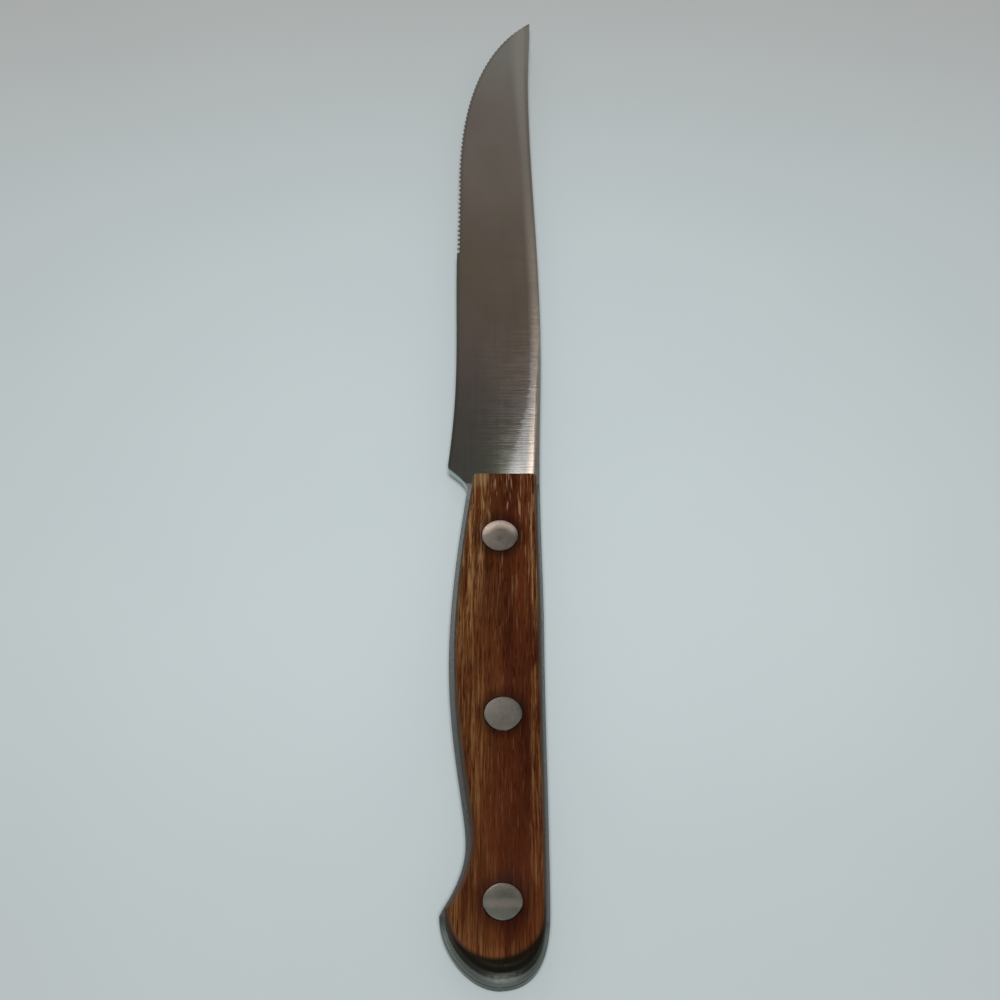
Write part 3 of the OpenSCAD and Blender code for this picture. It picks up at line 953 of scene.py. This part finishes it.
# Painted highlight on the upper part of a head, as strong as the rivet's glow
RIVET_HIGHLIGHT_FADE, RIVET_HIGHLIGHT_RISE, RIVET_HIGHLIGHT_COLOUR = (1.2, 3), (-0.4, 2.1), (0.85, 0.64, 0.52)
PIT_FADE, PIT_TINT = (0.56, 0.64), (0.72, 0.68, 0.66)
DENT_OFF, DENT_FADE, DENT_TINT = (-0.1, -0.5), (1.1, 0.1, 0, 0.6), (0.5, 0.55, 0.55)
LOWER_FADE, LOWER_COLOUR = (-0.5, -1.8), (0.22, 0.22, 0.189)
BAND_FADE, BAND_END_FADE, BAND_COLOUR = (-1.6, -0.6), (1.1, -0.1), (0.41, 0.36, 0.307)
# Painted shade on the lower rim of each head
HEAD_RIM_FADE, HEAD_RIM_SHADE_TINT = (3.28, 3.42), (0.12, 0.12, 0.12)
MOTTLE_FADE, MOTTLE_TINT = (0.45, 0.62), (0.86, 0.93, 0.9)
RIVET_ROUGH, RIVET_DEPTH = (0.35, 0.65, 0.28, 0.34), 0.001
# The three rivets' tones differ as painted reflection
RIVET_LOOKS = {
    "front": {"tone": (0.232, 0.194, 0.161), "pits": 0.8, "glow": 0.97, "bar": 0},
    "middle": {"tone": (0.262, 0.232, 0.195), "pits": 0, "glow": 0, "bar": 0},
    "rear": {"tone": (0.188, 0.175, 0.15), "pits": 0, "glow": 0.15, "bar": 0.6},
}

# Looks of the floor, a little darker away from the knife and towards both ends of the view as a
# painted fall-off of light
FLOOR_REACH = 3
FLOOR_CLOUDS = (0.02, 0.02, 0.02)
FLOOR_COLOURS = [(0.35, (0.543, 0.608, 0.621)), (0.65, (0.552, 0.617, 0.629))]
FLOOR_MIDDLE, FLOOR_FADE, FLOOR_FALLOFF_TINT = (0, -5), (20, 190), (0.86, 0.83, 0.82)
BEYOND_Y, BEYOND_FALLOFF_TINT = (50, 150), (0.94, 0.89, 0.87)
NEAR_Y, NEAR_FALLOFF_TINT = (-30, -110), (0.935, 0.94, 0.94)
FLOOR_ROUGH, FLOOR_GLOSS = 0.7, 0.1


def brushed_colour(mat, coords, y, lines, nearer):
    """Colour of the ground steel, with its brush lines, clouds and drag marks, and a painted
    reflection that darkens it towards the heel.
    """
    clouds = spots(mat, coords, STEEL_CLOUDS, shift=7)
    drag = spots(mat, coords, DRAG_MARKS, shift=19)
    tint = spots(mat, coords, TINT_CLOUDS, detail=2, shift=11)
    tone = product(mat, centred(mat, lines), (nearer, LINE_STRENGTHS))
    tone = maths(mat, "ADD", tone, product(mat, centred(mat, clouds), CLOUD_STRENGTH))
    tone = maths(mat, "ADD", tone, product(mat, centred(mat, drag), nearer, DRAG_STRENGTH))
    # painted reflection: the ramp darkens the blade towards the heel
    colour = ramp(mat, slope(mat, y, *BLADE_Y), STEEL_ALONG)
    colour = tinted(mat, colour, grey(mat, maths(mat, "ADD", tone, 1)), 1)
    colour = tinted(mat, colour, GREENISH_TINT, (tint, GREENISH_FADE))
    return tinted(mat, colour, REDDISH_TINT, (tint, REDDISH_FADE))


def with_edge_and_strips(mat, colour, y, grind, back):
    """colour with a darker cutting edge and the two lighter strips along the back: the one near the
    point is a painted reflection, the other is the flat strip behind the grind line.
    """
    colour = tinted(mat, colour, EDGE_TINT, (attribute(mat, "edge_gap"), EDGE_FADE))
    off_back = product(mat, back, slope(mat, y, *STRIP_WIDENS_Y))
    strip = product(mat, (off_back, STRIP_BACK_FADE), (off_back, STRIP_EDGE_FADE))
    # painted reflection: the lighter strip near the point
    colour = blend(mat, colour, STRIP_REFLECTION_COLOUR, strip, (y, STRIP_Y), (y, STRIP_POINT_Y))
    return blend(mat, colour, FLAT_COLOUR, (grind, FLAT_FADE), (y, FLAT_Y), (y, FLAT_SHARE_Y))


def with_heel_light(mat, colour, y, grind, back, lines):
    """colour with painted highlights, the jagged wedge of light in front of the handle with its
    peach rim and the line on the back, and painted shade on the hollow beside the wedge.
    """
    jagged = maths(mat, "ADD", grind, product(mat, centred(mat, lines), WEDGE_JAGS))
    width = maths(mat, "MAXIMUM", slope(mat, y, *WEDGE_WIDE_Y), slope(mat, y, *WEDGE_NARROW_Y))
    in_wedge = level(mat, maths(mat, "DIVIDE", jagged, width), *WEDGE_FADE)
    on_hollow = product(mat, (grind, HOLLOW_FADE), (y, HOLLOW_Y))
    far_side = product(mat, (grind, FAR_SIDE_FADE), (y, FAR_SIDE_Y), FAR_SIDE_SHARE)
    wedge = maths(mat, "MAXIMUM", level(mat, y, *WEDGE_SHARE_Y), far_side)
    # painted shade on the hollow beside the wedge
    colour = tinted(mat, colour, BESIDE_SHADE_TINT, (in_wedge, REVERSED), on_hollow, (y, BESIDE_Y))
    # painted highlight: the wedge of light, cooler in its middle, with a peach rim by the grind
    # line
    colour = blend(mat, colour, WEDGE_HIGHLIGHT_COLOUR, wedge, in_wedge, on_hollow)
    colour = tinted(mat, colour, COOL_HIGHLIGHT_TINT, in_wedge, on_hollow, (grind, COOL_FADE))
    colour = blend(mat, colour, PEACH_HIGHLIGHT_COLOUR, (grind, PEACH_FADE), on_hollow, PEACH_SHARE)
    # painted highlight: the bright line on the back of the blade's middle
    rise = product(mat, (back, RISE_FADE), (back, RISE_BACK_FADE), RISE_SHARE)
    return blend(mat, colour, BACK_HIGHLIGHT_COLOUR, rise, (y, RISE_Y), (y, RISE_END_Y))


def with_tang_and_walls(mat, colour, x, y, tang, wall):
    """colour with painted reflection and shade: the greyer tang, darker at its left, the paler butt
    with its darker rim, and the lighter side walls, darker along the handle and at the butt.
    """
    # painted reflection: the greyer tang, with painted shade at its left
    colour = blend(mat, colour, TANG_REFLECTION_COLOUR, tang)
    colour = tinted(mat, colour, TANG_LEFT_SHADE_TINT, tang, (x, TANG_LEFT_X))
    # painted reflection: the paler butt, with painted shade on its rim
    colour = blend(mat, colour, BUTT_REFLECTION_COLOUR, (y, BUTT_Y))
    colour = tinted(mat, colour, RIM_TINT, (attribute(mat, "butt_gap"), RIM_FADE))
    # painted reflection: the lighter side walls, with painted shade along the handle and at the
    # butt
    colour = blend(mat, colour, WALL_REFLECTION_COLOUR, wall)
    colour = tinted(mat, colour, HANDLE_WALL_SHADE_TINT, wall, (y, HANDLE_WALL_Y))
    return tinted(mat, colour, BUTT_WALL_SHADE_TINT, wall, (y, BUTT_WALL_Y))


def steel_material():
    """Brushed steel, darker towards the heel, with lighter strips along the back and side walls;
    the darkening, the strip near the point, the light in front of the handle and on the back, and
    the colours of the tang and walls are painted reflection, highlight and shade.
    """
    mat, shader = new_material("brushed_steel_finish")
    coords, (x, y, _) = object_mm(mat)
    lines = spots(mat, coords, BRUSH_LINES, detail=4, rough=0.7)
    nearer, tang = level(mat, y, *BRUSHED_Y), level(mat, y, *TANG_Y)
    normal = node(mat, "ShaderNodeNewGeometry").outputs["Normal"]
    upright = maths(mat, "ABSOLUTE", node(mat, "ShaderNodeSeparateXYZ", {0: normal}).outputs[2])
    wall = level(mat, upright, *WALL_FADE)
    grind, back = attribute(mat, "grind_gap"), attribute(mat, "back_gap")

    colour = brushed_colour(mat, coords, y, lines, nearer)
    colour = with_edge_and_strips(mat, colour, y, grind, back)
    colour = with_heel_light(mat, colour, y, grind, back, lines)
    colour = with_tang_and_walls(mat, colour, x, y, tang, wall)

    scores = spots(mat, coords, SCORES, rough=0.6, shift=15)
    plain = maths(mat, "MAXIMUM", tang, wall)
    scored = level(mat, plain, *REVERSED)
    blade_rough = product(mat, (scores, BLADE_ROUGH), scored)
    rough = maths(mat, "ADD", blade_rough, product(mat, plain, TANG_ROUGH))
    relief = bump(mat, product(mat, scores, (nearer, SCORE_STRENGTHS), scored), SCORE_DEPTH)
    inputs = {"Base Color": colour, "Metallic": 1, "Roughness": rough, "Normal": relief}
    fill(mat, shader, inputs)
    return mat


def streaked_zone(mat, coords, x, y, broad):
    """How streaked the wood is at a place."""
    patch = level(mat, spots(mat, coords, PATCHES, detail=2, shift=13), *PATCH_FADE)
    patch = maths(mat, "MAXIMUM", patch, level(mat, y, *STRIPE_Y))
    stripe = product(mat, (x, STRIPE_X), patch)
    sides = product(mat, maths(mat, "MAXIMUM", level(mat, x, *LEFT_X), stripe), ZONE_SHARE)
    figure = level(mat, product(mat, broad, (x, FIGURE_X)), *FIGURE_FADE)
    return maths(mat, "ADD", sides, figure)


def grained_colour(mat, grain, x, y, broad, streak, pore, zone):
    """Colour of the stained wood with its streaks, hairs, pores and flecks."""
    colour = ramp(mat, broad, WOOD_BROAD)
    right = maths(mat, "ADD", x, level(mat, y, *RIGHT_TURN_Y))
    colour = tinted(mat, colour, RIGHT_TINT, (right, RIGHT_X))
    colour = blend(mat, colour, WARM_COLOUR, (streak, WARM_FADE), zone, WARM_SHARE)
    colour = tinted(mat, colour, GAP_TINT, (streak, GAP_FADE), zone, GAP_SHARE)
    colour = blend(mat, colour, GOLD_COLOUR, (streak, GOLD_FADE), zone, (y, GOLD_Y))
    hair = spots(mat, grain, HAIRS, rough=0.65, shift=4)
    fine = product(mat, (hair, HAIR_FADE), maths(mat, "ADD", zone, HAIR_SHARE))
    colour = blend(mat, colour, HAIR_COLOUR, fine, (streak, HAIR_STREAK_FADE), (y, HAIR_Y))
    colour = tinted(mat, colour, PORE_TINT, (pore, PORE_FADE), (y, PORE_Y))
    fleck = spots(mat, grain, FLECKS, detail=2, shift=21)
    return blend(mat, colour, FLECK_COLOUR, (fleck, FLECK_FADE), (y, FLECK_Y))


def with_worn_places(mat, colour, coords, streak, sway):
    """colour with the pale front corner and the dark stain round each rivet."""
    corner = distance(mat, coords, CORNER_MIDDLE)
    pale = product(mat, (corner, CORNER_FADE), (streak, CORNER_STREAK_FADE))
    colour = blend(mat, colour, CORNER_COLOUR, pale, CORNER_SHARE)
    stain = 0
    for reach, centre in zip(STAIN_REACHES, rivet_centres()):
        off = maths(mat, "ADD", distance(mat, coords, centre), product(mat, sway, STAIN_SWAY))
        stain = maths(mat, "MAXIMUM", stain, level(mat, off, reach, STAIN_FULL))
    return tinted(mat, colour, STAIN_TINT, stain, STAIN_SHARE)


def with_butt_and_sides(mat, colour, coords, x, y, z, streak):
    """colour with the warm ring and the near-black band of the round end, partly stain and partly
    painted shade, and the greyer rounded sides in painted shade, with painted light on the left one
    near the butt.
    """
    from_butt = distance(mat, coords, BUTT_FACE)
    ring = product(mat, (from_butt, RING_FADE), (y, RING_Y), (streak, RING_STREAK_FADE))
    colour = blend(mat, colour, RING_COLOUR, ring, RING_SHARE)
    off_middle = maths(mat, "ABSOLUTE", maths(mat, "SUBTRACT", z, TOTAL_T / 2))
    drop = maths(mat, "SUBTRACT", TOTAL_T / 2, off_middle)
    # painted light on the left rounded side near the butt
    lit_left = product(mat, (x, LIT_LEFT_X), (y, LIT_LEFT_Y))
    # painted shade on the rounded sides, weaker towards the front
    flank = product(mat, (drop, FLANK_FADE), (y, FLANK_Y), (lit_left, LIT_LEFT_FLANK))
    colour = blend(mat, colour, FLANK_SHADE_COLOUR, flank)
    colour = blend(mat, colour, LIT_LEFT_COLOUR, lit_left, (drop, LIT_LEFT_FADE), LIT_LEFT_SHARE)
    # partly stain, partly painted shade: the near-black band at the round end
    ragged = maths(mat, "ADD", from_butt, product(mat, streak, END_STAIN_SHADE_RAGS))
    return blend(mat, colour, END_STAIN_SHADE_COLOUR, (ragged, END_STAIN_SHADE_FADE), (y, END_STAIN_SHADE_Y), (x, END_STAIN_SHADE_X))


def wood_material():
    """Open-grained wood, stained dark red-brown, with gold streaks, a near-black butt that is
    partly stain and partly painted shade, and rounded sides in painted shade.
    """
    mat, shader = new_material("stained_wood_finish")
    coords, (x, y, z) = object_mm(mat)
    sway = spots(mat, coords, SWAY, detail=2, shift=5)
    swayed = maths(mat, "ADD", x, product(mat, centred(mat, sway), SWAY_REACH))
    grain = node(mat, "ShaderNodeCombineXYZ", {0: swayed, 1: y, 2: z}).outputs[0]
    broad = spots(mat, grain, BROAD_FIGURE, shift=2)
    streak = spots(mat, grain, STREAKS, detail=6, rough=0.7)
    pore = spots(mat, grain, PORES, detail=2, shift=9)

    zone = streaked_zone(mat, coords, x, y, broad)
    colour = grained_colour(mat, grain, x, y, broad, streak, pore, zone)
    colour = with_worn_places(mat, colour, coords, streak, sway)
    colour = with_butt_and_sides(mat, colour, coords, x, y, z, streak)
    dents = product(mat, (pore, PORE_DENT_FADE), PORE_DENT)
    inputs = {
        "Base Color": colour,
        "Roughness": level(mat, streak, *WOOD_ROUGH),
        "Specular IOR Level": WOOD_GLOSS,
        "Normal": bump(mat, maths(mat, "SUBTRACT", streak, dents), GRAIN_DEPTH),
    }
    fill(mat, shader, inputs)
    return mat


def rivet_material(name, centre, tone, pits, glow, bar):
    """Satin rivet metal: its tone, and how strong its pits, painted upper highlight (its glow) and
    brushed bar are; the lower rim of the head gets painted shade.
    """
    mat, shader = new_material(name)
    coords, (_, y, _) = object_mm(mat)
    cloud = spots(mat, coords, RIVET_CLOUDS, detail=2)
    lines = spots(mat, coords, RIVET_LINES, detail=2, shift=6)
    shade = maths(mat, "ADD", product(mat, cloud, CLOUD_PART), product(mat, lines, LINE_PART))
    tones = (tuple(part * share for part in tone) for share in TONE_RANGE)
    colour = ramp(mat, shade, list(zip(TONE_STOPS, tones)))
    far = distance(mat, coords, centre)
    across = maths(mat, "SUBTRACT", y, centre[1])
    # painted highlight on the upper part of the head
    if glow:
        colour = blend(mat, colour, RIVET_HIGHLIGHT_COLOUR, (far, RIVET_HIGHLIGHT_FADE), (across, RIVET_HIGHLIGHT_RISE), glow)
    if pits:
        speck = spots(mat, coords, RIVET_PITS, detail=2, shift=8)
        colour = tinted(mat, colour, PIT_TINT, (speck, PIT_FADE), pits)
        dent = distance(mat, coords, moved(centre, DENT_OFF, 1))
        colour = tinted(mat, colour, DENT_TINT, (dent, DENT_FADE))
    if bar:
        colour = blend(mat, colour, LOWER_COLOUR, (across, LOWER_FADE))
        band = product(mat, (across, BAND_FADE), (across, BAND_END_FADE))
        colour = blend(mat, colour, BAND_COLOUR, band, bar)
    # painted shade on the head's lower rim
    colour = tinted(mat, colour, HEAD_RIM_SHADE_TINT, (far, HEAD_RIM_FADE), (across, LOWER_FADE))
    mottle = spots(mat, coords, RIVET_MOTTLE, detail=4, shift=12)
    colour = tinted(mat, colour, MOTTLE_TINT, (mottle, MOTTLE_FADE))
    inputs = {
        "Base Color": colour,
        "Metallic": 1,
        "Roughness": level(mat, shade, *RIVET_ROUGH),
        "Normal": bump(mat, shade, RIVET_DEPTH),
    }
    fill(mat, shader, inputs)
    return mat


def floor_material():
    """A plain pale grey-blue floor, a little darker away from the knife as a painted fall-off of
    light.
    """
    mat, shader = new_material("pale_floor")
    coords, (_, y, _) = object_mm(mat)
    far = distance(mat, coords, FLOOR_MIDDLE)
    colour = ramp(mat, spots(mat, coords, FLOOR_CLOUDS, detail=2), FLOOR_COLOURS)
    # painted fall-off of light, darker away from the knife and towards both ends of the view
    colour = tinted(mat, colour, FLOOR_FALLOFF_TINT, (far, FLOOR_FADE))
    colour = tinted(mat, colour, BEYOND_FALLOFF_TINT, (y, BEYOND_Y))
    colour = tinted(mat, colour, NEAR_FALLOFF_TINT, (y, NEAR_Y))
    inputs = {"Base Color": colour, "Roughness": FLOOR_ROUGH, "Specular IOR Level": FLOOR_GLOSS}
    fill(mat, shader, inputs)
    return mat


def make_floor(mat):
    mesh = bmesh.new()
    corners = ((-1, -1), (1, -1), (1, 1), (-1, 1))
    mesh.faces.new([mesh.verts.new((x * FLOOR_REACH, y * FLOOR_REACH, 0)) for x, y in corners])
    data = bpy.data.meshes.new("floor")
    mesh.to_mesh(data)
    mesh.free()
    piece = bpy.data.objects.new("floor", data)
    bpy.context.scene.collection.objects.link(piece)
    data.materials.append(mat)


# Camera: the photograph's angle and framing
CAMERA_PLACE = (0.93, -245.62, 369.83)
CAMERA_TILT = math.radians(32.4)
LENS = 78.6
SENSOR = 36
NEAREST_SEEN = 0.01


def make_camera():
    data = bpy.data.cameras.new("camera")
    data.sensor_width = SENSOR
    data.lens = LENS
    data.clip_start = NEAREST_SEEN
    camera = bpy.data.objects.new("camera", data)
    camera.location = Vector(CAMERA_PLACE) * MM
    camera.rotation_euler = (CAMERA_TILT, 0, 0)
    bpy.context.scene.collection.objects.link(camera)
    bpy.context.scene.camera = camera


# Lamps, with angles in radians, distances in metres and sizes as the angles that they fill
LAMPS = {
    "window": {
        "side": -0.115, "pitch": 1.024, "away": 1.2, "size": (0.15, 0.1),
        "radiance": 3.15, "colour": (0.94, 0.95, 1), "turn": -0.41,
    },
    "window_glow": {
        "side": -0.165, "pitch": 0.985, "away": 1.25, "size": (0.1, 0.13),
        "radiance": 1, "colour": (0.94, 0.94, 1), "turn": -0.41,
    },
    "overhead": {
        "side": 0.005, "pitch": 2.04, "away": 1.2, "size": (0.18, 0.18),
        "radiance": 59, "colour": (1, 1, 1), "turn": 0,
    },
}
WORLD_COLOUR = (0.98, 1, 1)
WORLD_STRENGTH = 0.28
# Power of an area lamp for each unit of its radiance and its area
LAMP_POWER = 4


def make_lamp(name, side, pitch, away, size, radiance, colour, turn):
    """A soft rectangular lamp that faces the knife, at angles to the side and above the floor.

    pitch is measured from the floor beyond the point, so that more than a right angle is on the
    camera's side; side is the angle off the knife's length, positive to the right."""
    data = bpy.data.lights.new(name, "AREA")
    data.shape = "RECTANGLE"
    data.size, data.size_y = (2 * away * math.tan(angle / 2) for angle in size)
    data.energy = LAMP_POWER * radiance * data.size * data.size_y
    data.color = colour
    lamp = bpy.data.objects.new(name, data)
    forward, up = math.cos(pitch), math.sin(pitch)
    way = Vector((math.sin(side), forward * math.cos(side), up * math.cos(side)))
    right = Vector((math.cos(side), -forward * math.sin(side), -up * math.sin(side)))
    tilted = right * math.cos(turn) + way.cross(right) * math.sin(turn)
    axes = Matrix((tilted, way.cross(tilted), way)).transposed()
    lamp.matrix_world = Matrix.Translation(way * away) @ axes.to_4x4()
    bpy.context.scene.collection.objects.link(lamp)


def make_world():
    world = bpy.data.worlds.new("studio")
    world.use_nodes = True
    back = world.node_tree.nodes["Background"]
    back.inputs["Color"].default_value = (*WORLD_COLOUR, 1)
    back.inputs["Strength"].default_value = WORLD_STRENGTH
    bpy.context.scene.world = world


steel = steel_material()
wood = wood_material()
make_blade().data.materials.append(steel)
make_scale("upper_scale_finish", "upper_scale", True).data.materials.append(wood)
make_scale("lower_scale_finish", "lower_scale", False).data.materials.append(wood)
for which, centre in zip(RIVET_LOOKS, rivet_centres()):
    metal = rivet_material(which + "_rivet_satin_finish", centre, **RIVET_LOOKS[which])
    for piece in make_rivet(which, centre):
        piece.data.materials.append(metal)

make_floor(floor_material())
make_camera()
for name, settings in LAMPS.items():
    make_lamp(name, **settings)
make_world()
bpy.context.scene.view_settings.view_transform = "Standard"
